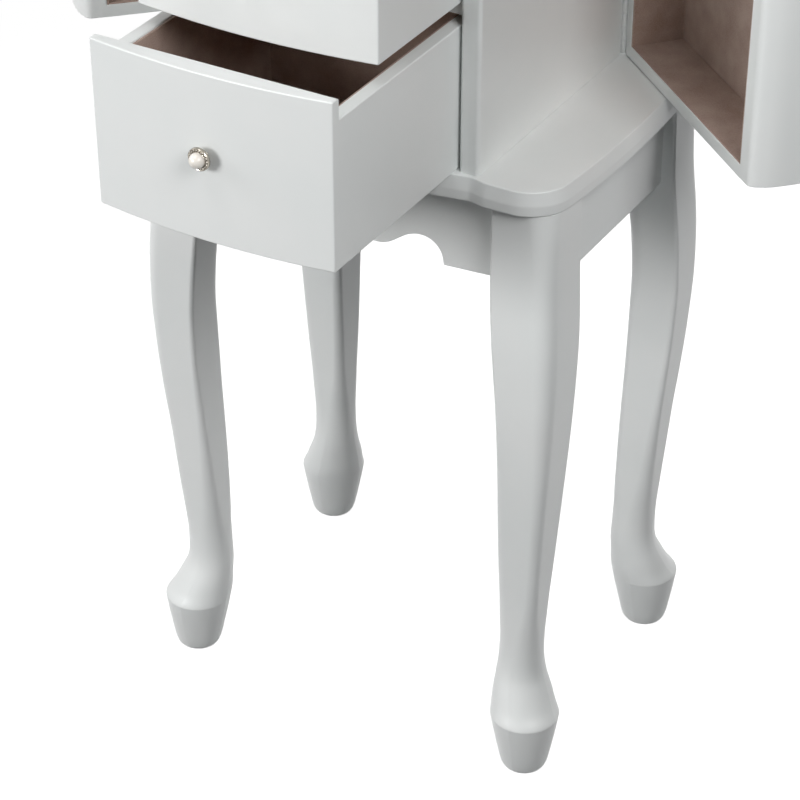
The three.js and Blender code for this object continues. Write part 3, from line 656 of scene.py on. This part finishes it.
def openTray(name, low, high, wall, material):
    # an open box: a rectangle carried up, over the round rim, down inside, round the cove and over the floor
    tip = wall / 2
    near, far = (c * mm for c in drawer["cove"])
    a = np.linspace(0, math.pi, 7)
    rim = np.stack([tip - tip * np.cos(a), high[2] - tip + tip * np.sin(a)], 1)
    inside = np.array([(0, far), (near, near), (far, 0)]) + (wall, low[2] + wall)
    profile = np.concatenate([[(0, low[2])], rim, inside])
    return carried(name, rectangle(low[0], high[0], low[1], high[1], 0), profile, material)


def makeDrawer(name):
    body = name + "_drawer"
    low, high = nodeBox(body + "_front")
    profile = eased(low[2], high[2], drawer["ease"] * mm)
    front = carried(body + "_front_bowed", bowedOutline(low, high, drawer["corner"]), profile, lacquer)
    seat(front, body, "white_lacquer", body + "_front")
    for part in ("right_side", "left_side", "back"):
        plainBoard(f"{body}_{part}", body, "white_lacquer", lacquer, drawer["sideEase"], corner=0)
    plainBoard(body + "_bottom", body, "plain_board", fibreboard, drawer["bottomEase"])
    floorLow, floorHigh = nodeBox(body + "_bottom")
    top = nodeBox(body + "_back")[1][2] - drawer["liningDrop"] * mm
    gap = drawer["liningGap"] * mm
    low = np.array([floorLow[0], floorLow[1], floorHigh[2]]) + gap
    high = np.array([floorHigh[0], floorHigh[1], top]) - gap
    seat(openTray(body + "_felt_lining", low, high, drawer["lining"] * mm, felt), body, "felt")
    makeKnob(name, body)


for name in ("lower", "middle", "upper"):
    makeDrawer(name)
print("drawers made")


hinge = {
    "pitch": 13, "gap": 0.35, "radius": 2.35, "ease": 0.3, "sides": 20,
    "leaf": (1.4, 14.8), "leafDown": 2.2, "leafThickness": 1.0,
    # screw heads: radius and height of each ring of the dome with its shallow recess
    "screwPitch": 55, "screwAt": 8.7, "screwSides": 12,
    "screw": [(2.6, 0), (2.5, 0.35), (1.6, 0.42), (0.5, 0.15)],
}


def rings(profile, sides):
    # (cosine, sine, height) rings of a profile of (radius, height)
    angle = np.linspace(0, 2 * math.pi, sides, endpoint=False)
    radius, height = np.array(profile)[:, :1], np.array(profile)[:, 1:]
    return np.stack([radius * np.cos(angle), radius * np.sin(angle), height + 0 * angle], -1)


def hingeLeaf(name, body, node, axes, length, side, first):
    # knuckles every second pitch along the pin, a flat leaf and a row of screws
    count = round(length / (hinge["pitch"] * mm))
    pitch = length / count
    radius, gap, ease = (hinge[k] * mm for k in ("radius", "gap", "ease"))
    end = pitch - gap
    barrel = [(radius - ease, 0), (radius, ease), (radius, end - ease), (radius - ease, end)]
    unit = rings(barrel, hinge["sides"])
    starts = np.arange(0 if first else 1, count, 2) * pitch + gap / 2
    knuckles = unit + np.stack([0 * starts, 0 * starts, starts], 1)[:, None, None]
    faces = repeated(gridFaces(*unit.shape[:2]), len(starts), unit[..., 0].size)

    near, far = (side * edge * mm for edge in hinge["leaf"])
    under = -hinge["leafDown"] * mm
    over = under + hinge["leafThickness"] * mm
    section = np.array([(near, under), (far, under), (far, over), (near, over)])
    plate = np.concatenate([np.insert(section, 2, h, 1) for h in (0, length)])
    box = gridFaces(2, 4)
    faces += repeated(box if side > 0 else turned(box), 1, 8, knuckles[..., 0].size)

    heads = np.arange(hinge["screwPitch"] / 2 * mm, length, hinge["screwPitch"] * mm)
    dome = rings(np.array(hinge["screw"]) * mm, hinge["screwSides"])[..., [1, 2, 0]]
    middle = np.stack([0 * heads + side * hinge["screwAt"] * mm, 0 * heads + over, heads], 1)
    screws = dome + middle[:, None, None]
    faces += repeated(gridFaces(*dome.shape[:2]), len(heads), dome[..., 0].size, knuckles[..., 0].size + 8)
    points = np.concatenate([part.reshape(-1, 3) for part in (knuckles, plate, screws)])
    piece = addMesh(name, axes.place(points), axes.outside(faces), hingePaint, 40, weighted=False)
    return seat(piece, body, "hinge_metal", node)


door = {
    # in plan, from the case's side outwards and from the pin to the front, which stands ahead of the case
    "opening": 1.3, "depth": 65.7, "skin": 14, "back": 2.5, "rearWall": 11.3, "ahead": 4.8, "frontWall": 26.5,
    "rim": 13, "rimReach": 6, "corner": 22, "rearCorner": 3, "edge": 1.6, "ease": 1.2,
    "curl": [(5, 5.5), (11, 3.5), (17, 1.3), (24, 0.2)],  # outward from the opening, behind the front
    "board": 12, "boardEase": 0.8, "tongue": 2,
    "lining": 2.0, "liningIn": 0.6, "liningEdge": 0.8, "liningCorner": 1.5,
    "liningFloor": 1.2, "liningEase": 0.5,
    "railHeight": 20, "railDrop": 22, "railThickness": 7, "railIn": 18, "railCorner": 4, "railEase": 1.5,
    "pegs": 6, "peg": [(0, -1), (4.18, -1), (4.18, 0.6), (3.3, 1.1), (1.584, 1.6)], "pegHead": 3.52,
    "pegReach": 17.48,
}


def makeDoor(name):
    body = name + "_door"
    joint = joints[body + "_hinge"]
    side = 1 if name == "right" else -1
    angle = math.radians(-joint["range_deg"][0])
    pin = np.array([joint["pos_m"][0], joint["pos_m"][1], 0])
    outward = np.array([side * math.cos(angle), math.sin(angle), 0])
    along = np.array([side * math.sin(angle), -math.cos(angle), 0])
    axes = Axes(origin=pin, a=outward, b=along, h=(0, 0, 1))
    low, high = nodeBox(body + "_rear_wall")
    bottom, top = low[2], high[2]
    v = {k: np.array(size) * mm for k, size in door.items()}
    near, edge = v["opening"], v["edge"]
    outer = near + v["depth"]
    skin = outer - v["skin"]
    rearInner = v["back"] + v["rearWall"]
    nose = pin[1] - caseFront + v["ahead"]
    frontInner = nose - v["frontWall"]
    rim = frontInner + v["rim"]

    # the casing in plan: rear wall, outer panel and front wall in one lacquered C
    curl = v["curl"] * (1, -1) + (near, nose)
    bend = (outer - v["corner"], nose)
    outline = withoutRepeats(np.concatenate([
        fillet([
            (outer, frontInner), (outer, v["back"]), (near, v["back"]), (near, rearInner), (skin, rearInner),
            (skin, frontInner), (near, frontInner), (near, rim),
        ], [0, v["rearCorner"], edge, edge, 0, 0, edge, 0])[:-1],
        bezier((near, rim), (near, rim + v["rimReach"]), curl[0], curl[1], 14),
        bezier(curl[1], curl[2], curl[3], bend, 14)[1:],
        arc((bend[0], nose - v["corner"]), v["corner"], 90, 0, 20)[1:],
    ]))[::-1]
    casing = carried(body + "_casing", outline, eased(bottom, top, v["ease"]), lacquer, axes, 35)
    seat(casing, body, "white_lacquer", body + "_rear_wall", body + "_outer_panel", body + "_front_wall")

    floorTop, ceiling, tongue = bottom + v["board"], top - v["board"], v["tongue"]
    for part, z0, z1 in (("floor_board", bottom, floorTop), ("top_board", ceiling, top)):
        outline = rectangle(near, skin + tongue, rearInner - tongue, frontInner + tongue, v["boardEase"], 3)
        piece = carried(f"{body}_{part}_eased", outline, eased(z0, z1, v["boardEase"], 3), lacquer, axes)
        seat(piece, body, "white_lacquer", f"{body}_{part}")

    # felt on the inside: the walls in one strip, then the floor and the ceiling
    wall, start = v["lining"], near + v["liningIn"]
    feltSkin, feltRear, feltFront = skin - wall, rearInner + wall, frontInner - wall
    lip, cove = v["liningEdge"], v["liningCorner"]
    strip = fillet([
        (start, rearInner), (skin, rearInner), (skin, frontInner), (start, frontInner),
        (start, feltFront), (feltSkin, feltFront), (feltSkin, feltRear), (start, feltRear),
    ], [0, 0, 0, lip, lip, cove, cove, lip], 3)
    lining = carried(body + "_felt_walls", strip, [(0, floorTop), (0, ceiling)], felt, axes)
    seat(lining, body, "felt")
    thick, soft = v["liningFloor"], v["liningEase"]
    for part, z0, z1 in (("floor", floorTop, floorTop + thick), ("ceiling", ceiling - thick, ceiling)):
        outline = rectangle(start, feltSkin, feltRear, feltFront, soft, 2)
        seat(carried(f"{body}_felt_{part}", outline, eased(z0, z1, soft, 3), felt, axes), body, "felt")

    # rail of pegs under the top board
    railTop = ceiling - v["railDrop"]
    ends = (rearInner + v["railIn"], frontInner - v["railIn"])
    facing = Axes(origin=pin + outward * feltSkin, a=along, b=(0, 0, 1), h=-outward)
    outline = rectangle(*ends, railTop - v["railHeight"], railTop, v["railCorner"], 6)
    profile = eased(0, v["railThickness"], v["railEase"])
    rail = carried(body + "_peg_rail_board", outline, profile, lacquer, facing)
    seat(rail, body, "white_lacquer", body + "_peg_rail")
    turn = np.linspace(-1.1, math.pi / 2, 9)
    head = np.stack([v["pegHead"] * np.cos(turn), v["pegReach"] + v["pegHead"] * np.sin(turn)], 1)
    for k in range(door["pegs"]):
        u = ends[0] + (ends[1] - ends[0]) * (k + 0.5) / door["pegs"]
        level = np.array([0, 0, railTop - v["railHeight"] / 2])
        origin = pin + along * u + outward * (feltSkin - v["railThickness"]) + level
        pegAxes = Axes(origin=origin, a=along, b=(0, 0, 1), h=-outward)
        peg = revolved(f"{body}_peg_{k + 1}", np.concatenate([v["peg"], head]), silver, pegAxes, 24)
        seat(peg, body, "silver")

    foot = pin + (0, 0, bottom)
    leafAxes = Axes(origin=foot, a=outward * side, b=-along, h=(0, 0, 1))
    hingeLeaf(body + "_hinge_leaf_shaped", body, body + "_hinge_leaf", leafAxes, top - bottom, side, False)
    node = name + "_case_hinge_leaf"
    hingeLeaf(node + "_shaped", "cabinet", node, Axes(origin=foot), top - bottom, -side, True)


makeDoor("right")
makeDoor("left")
print("doors made")


lid = {
    "gap": 0.3, "rearTrim": 0.5, "margin": 8, "railDepth": 18,
    # mirror frame: outer edge, an ogee from start to end that falls by the drop, and inner edge
    "frameDepth": 8, "outerEdge": [(0, 0.2), (0, 6.8), (0.35, 7.65), (1.2, 8)],
    "ogee": (2.52, 12.6), "ogeeDrop": 3.6, "innerEdge": [(14, 4.1), (14, 0.2)],
    # glass: how far it lies inside the frame's outline, and its ground bevel
    "glassIn": 10, "bevel": [(0, 0.4), (0, 2.2), (13, 3.2), (13.2, 3.2)],
}


def makeLid():
    joint = joints["lid_hinge"]
    angle = math.radians(joint["range_deg"][0])
    pin = np.array([0, joint["pos_m"][1], joint["pos_m"][2]])
    # closed lid: depth ahead of the pin and height above it; opening turns both about the pin
    depth = np.array([0, math.cos(angle), math.sin(angle)])
    height = np.array([0, -math.sin(angle), math.cos(angle)])
    axes = Axes(origin=pin, a=(1, 0, 0), b=depth, h=height)
    under = caseTop + lid["gap"] * mm - pin[2]
    rear = caseRear - pin[1]
    # the base board's outline, cut straight off at the rear; its widest step is the cut
    outline = boardOutline(boardHigh[1]) - (0, pin[1])
    kept = outline[outline[:, 1] < rear - lid["rearTrim"] * mm]
    cut = int(np.argmax(np.abs(np.diff(np.append(kept[:, 0], kept[0, 0])))))
    kept = np.roll(kept, -(cut + 1), 0)
    outline = np.concatenate([kept, [(kept[-1, 0], rear), (kept[0, 0], rear)]])
    profile = nosedEdge(under, under + boardHigh[2] - boardLow[2])
    panel = carried("lid_panel_lacquered", outline, profile, lacquer, axes)
    seat(panel, "lid", "white_lacquer", "lid_panel")

    # frame of the mirror: an ogee carried round a rectangle, thick at the outside, thin at the glass
    margin = lid["margin"] * mm
    left, right = midX - bayHalf + margin, midX + bayHalf - margin
    front = caseFront + lid["railDepth"] * mm + margin - pin[1]
    back = nodeBox("back_panel")[0][1] - margin - pin[1]
    facing = Axes(origin=pin + height * under, a=(1, 0, 0), b=depth, h=-height)
    t = np.linspace(0, 1, 12)
    fall = lid["ogeeDrop"] * (t - np.sin(2 * math.pi * t) / (2 * math.pi))
    ogee = np.stack([np.linspace(*lid["ogee"], 12), lid["frameDepth"] - fall], 1)
    profile = np.concatenate([lid["outerEdge"], ogee, lid["innerEdge"]]) * mm
    outline = rectangle(left, right, front, back, 0)
    rim = carried("mirror_frame_moulded", outline, profile, lacquer, facing, 50, "joined")
    seat(rim, "lid", "white_lacquer", "mirror_frame")

    reach = lid["glassIn"] * mm
    outline = rectangle(left + reach, right - reach, front + reach, back - reach, 0)
    glass = carried("mirror_bevelled", outline, np.array(lid["bevel"]) * mm, mirrorGlass, facing, 2)
    seat(glass, "lid", "mirror_glass", "mirror")

    low, high = nodeBox("case_lid_hinge_leaf")
    length = high[0] - low[0]
    start = pin + (low[0], 0, 0)
    caseAxes = Axes(origin=start, a=(0, 0, -1), b=(0, 1, 0), h=(1, 0, 0))
    hingeLeaf("case_lid_hinge_leaf_shaped", "cabinet", "case_lid_hinge_leaf", caseAxes, length, 1, True)
    lidAxes = Axes(origin=start, a=-height, b=depth, h=(1, 0, 0))
    hingeLeaf("lid_hinge_leaf_shaped", "lid", "lid_hinge_leaf", lidAxes, length, -1, False)


cushion = {
    "rolls": 8, "base": 8, "shrink": 0.8, "clear": 0.2, "seam": 0.02, "fullness": 0.8,
    "endPower": 10, "endLift": 0.25, "endDrop": 4,
}


def makeCushion():
    # rows of rolls: half ellipses across, rounded at the ends, on one flat base
    low, high = nodeBox("ring_cushion")
    shrink = cushion["shrink"] * mm
    low, high = low + (shrink, shrink, 0), high - (shrink, shrink, shrink)
    base = low[2] + cushion["base"] * mm
    rolls = cushion["rolls"]
    t = np.linspace(cushion["seam"], 1 - cushion["seam"], 15)
    wave = (np.arange(rolls)[:, None] + (1 - np.cos(math.pi * t)) / 2).ravel() * (high[1] - low[1]) / rolls
    lift = np.tile(np.sin(math.pi * t) ** cushion["fullness"], rolls)
    x = np.linspace(-1, 1, 41)[:, None]
    end = (1 - np.abs(x) ** cushion["endPower"]) ** 0.5
    share = cushion["endLift"] + (1 - cushion["endLift"]) * end
    top = base + (high[2] - base) * lift * share - cushion["endDrop"] * mm * (1 - end)
    xs = (low[0] + high[0]) / 2 + x * (high[0] - low[0]) / 2 + 0 * wave
    upper = np.stack([xs, low[1] + wave + 0 * x, top], -1)
    lower = upper.copy()
    lower[..., 2] = low[2] + cushion["clear"] * mm
    rows, columns = upper.shape[:2]
    count = rows * columns
    faces = turned(gridFaces(rows, columns, False, "open"))
    faces += repeated(turned(faces), 1, count, count)
    border = np.concatenate([
        np.arange(columns), np.arange(1, rows) * columns + columns - 1,
        (rows - 1) * columns + np.arange(columns - 2, -1, -1), np.arange(rows - 2, 0, -1) * columns,
    ])
    after = np.roll(border, -1)
    faces += np.stack([border, after, after + count, border + count], 1).tolist()
    piece = addMesh("ring_cushion_rolls", np.concatenate([upper, lower]), faces, felt, 70, weighted=False)
    bpy.context.view_layer.objects.active = piece
    piece.select_set(True)
    bpy.ops.object.mode_set(mode="EDIT")
    bpy.ops.mesh.select_all(action="SELECT")
    bpy.ops.mesh.normals_make_consistent(inside=False)
    bpy.ops.object.mode_set(mode="OBJECT")
    seat(piece, "cabinet", "felt", "ring_cushion")


makeLid()
makeCushion()
print("lid, mirror and cushion made")


view = {
    "lens": 117.766, "azimuth": 30.19, "elevation": 33.62,
    "place": (1022.99, -1659.62, 1651.39),  # from the middle of the case's front on the floor
}


def direction(settings):
    # unit vector by azimuth from the front towards the right and elevation above the floor, in degrees
    a, e = math.radians(settings["azimuth"]), math.radians(settings["elevation"])
    return Vector((math.sin(a) * math.cos(e), -math.cos(a) * math.cos(e), math.sin(e)))


def makeCamera():
    data = bpy.data.cameras.new("camera")
    data.lens = view["lens"]
    data.clip_end = 50
    camera = bpy.data.objects.new("camera", data)
    bpy.context.scene.collection.objects.link(camera)
    back = direction(view)
    right = Vector((0, 0, 1)).cross(back).normalized()
    turn = Matrix((right, back.cross(right), back)).transposed()
    place = Vector((midX, caseFront, 0)) + mm * Vector(view["place"])
    camera.matrix_world = Matrix.Translation(place) @ turn.to_4x4()
    bpy.context.scene.camera = camera


light = {
    "world": "#ffffff", "worldStrength": 0.05,
    "aim": (0.1, 0.8),  # behind the case's front and above the floor, in metres
    "lamps": {
        "key": {"azimuth": -25, "elevation": 14, "distance": 3.0, "size": 1.2, "power": 47},
        "left": {"azimuth": -66, "elevation": 20, "distance": 2.5, "size": 1.2, "power": 16},
        "overhead": {"azimuth": -30, "elevation": 62, "distance": 2.9, "size": 1.2, "power": 13},
        "right": {"azimuth": 58, "elevation": 34, "distance": 2.2, "size": 1.2, "power": 28},
        "behind": {"azimuth": 165, "elevation": 28, "distance": 3.0, "size": 2.0, "power": 36},
    },
}


def makeLights():
    world = bpy.data.worlds.new("studio")
    bpy.context.scene.world = world
    world.use_nodes = True
    tree = world.node_tree
    tree.nodes.clear()
    paths = addNode(tree, "LightPath").outputs
    seen = paths["Is Camera Ray"]
    for ray in ("Is Transmission Ray", "Is Glossy Ray"):
        seen = addNode(tree, "Math", {"operation": "MAXIMUM"}, links={0: seen, 1: paths[ray]}).outputs[0]
    sockets = {"Color": colour(light["world"]), "Strength": light["worldStrength"]}
    soft = addNode(tree, "Background", sockets=sockets)
    white = addNode(tree, "Background", sockets={"Color": (1, 1, 1, 1), "Strength": 1.0})
    both = addNode(tree, "MixShader", links={0: seen, 1: soft.outputs[0], 2: white.outputs[0]})
    addNode(tree, "OutputWorld", links={"Surface": both.outputs[0]})
    aim = Vector((midX, caseFront + light["aim"][0], light["aim"][1]))
    for name, settings in light["lamps"].items():
        data = bpy.data.lights.new(name, "AREA")
        data.shape = "DISK"
        data.size = settings["size"]
        data.energy = settings["power"]
        lamp = bpy.data.objects.new(name, data)
        bpy.context.scene.collection.objects.link(lamp)
        lamp.location = aim + settings["distance"] * direction(settings)
        lamp.rotation_mode = "QUATERNION"
        lamp.rotation_quaternion = (aim - lamp.location).to_track_quat("-Z", "Y")


# half width in metres, its colours to the camera and to other light, its glow, and where it fades to white
studioFloor = {"half": 6.0, "pale": "#e8e8e8", "bounce": "#26292c", "glow": 0.7, "fade": (0.7, 1.6)}


def makeFloor():
    # pale matt floor that reads as white to the camera and still takes the soft shadow
    half = studioFloor["half"]
    points = [(-half, -half, 0), (half, -half, 0), (half, half, 0), (-half, half, 0)]
    material = bpy.data.materials.new("pale studio floor")
    material.use_nodes = True
    tree = material.node_tree
    tree.nodes.clear()
    paths = addNode(tree, "LightPath").outputs
    matt = addNode(tree, "BsdfDiffuse", sockets={"Color": colour(studioFloor["bounce"])})
    pale = addNode(tree, "BsdfDiffuse", sockets={"Color": colour(studioFloor["pale"])})
    glow = addNode(tree, "Emission", sockets={"Color": (1, 1, 1, 1), "Strength": studioFloor["glow"]})
    lit = addNode(tree, "AddShader", links={0: pale.outputs[0], 1: glow.outputs[0]})
    # away from the object the floor runs out into the white background
    white = addNode(tree, "Emission", sockets={"Color": (1, 1, 1, 1), "Strength": 1.0})
    place = addNode(tree, "TexCoord").outputs["Object"]
    reach = addNode(tree, "VectorMath", {"operation": "LENGTH"}, links={0: place})
    start, end = studioFloor["fade"]
    away = addNode(
        tree, "MapRange", {"interpolation_type": "SMOOTHSTEP"},
        sockets={"From Min": start, "From Max": end}, links={"Value": reach.outputs["Value"]},
    )
    both = addNode(tree, "MixShader", links={0: away.outputs[0], 1: lit.outputs[0], 2: white.outputs[0]})
    rays = {0: paths["Is Camera Ray"], 1: paths["Is Glossy Ray"]}
    seen = addNode(tree, "Math", {"operation": "MAXIMUM"}, links=rays)
    mix = addNode(tree, "MixShader", links={0: seen.outputs[0], 1: matt.outputs[0], 2: both.outputs[0]})
    addNode(tree, "OutputMaterial", links={"Surface": mix.outputs[0]})
    addMesh("floor", points, [[0, 1, 2, 3]], material, weighted=False)


makeCamera()
makeLights()
makeFloor()
bpy.context.scene.view_settings.view_transform = "Standard"
print("camera, light and floor made")
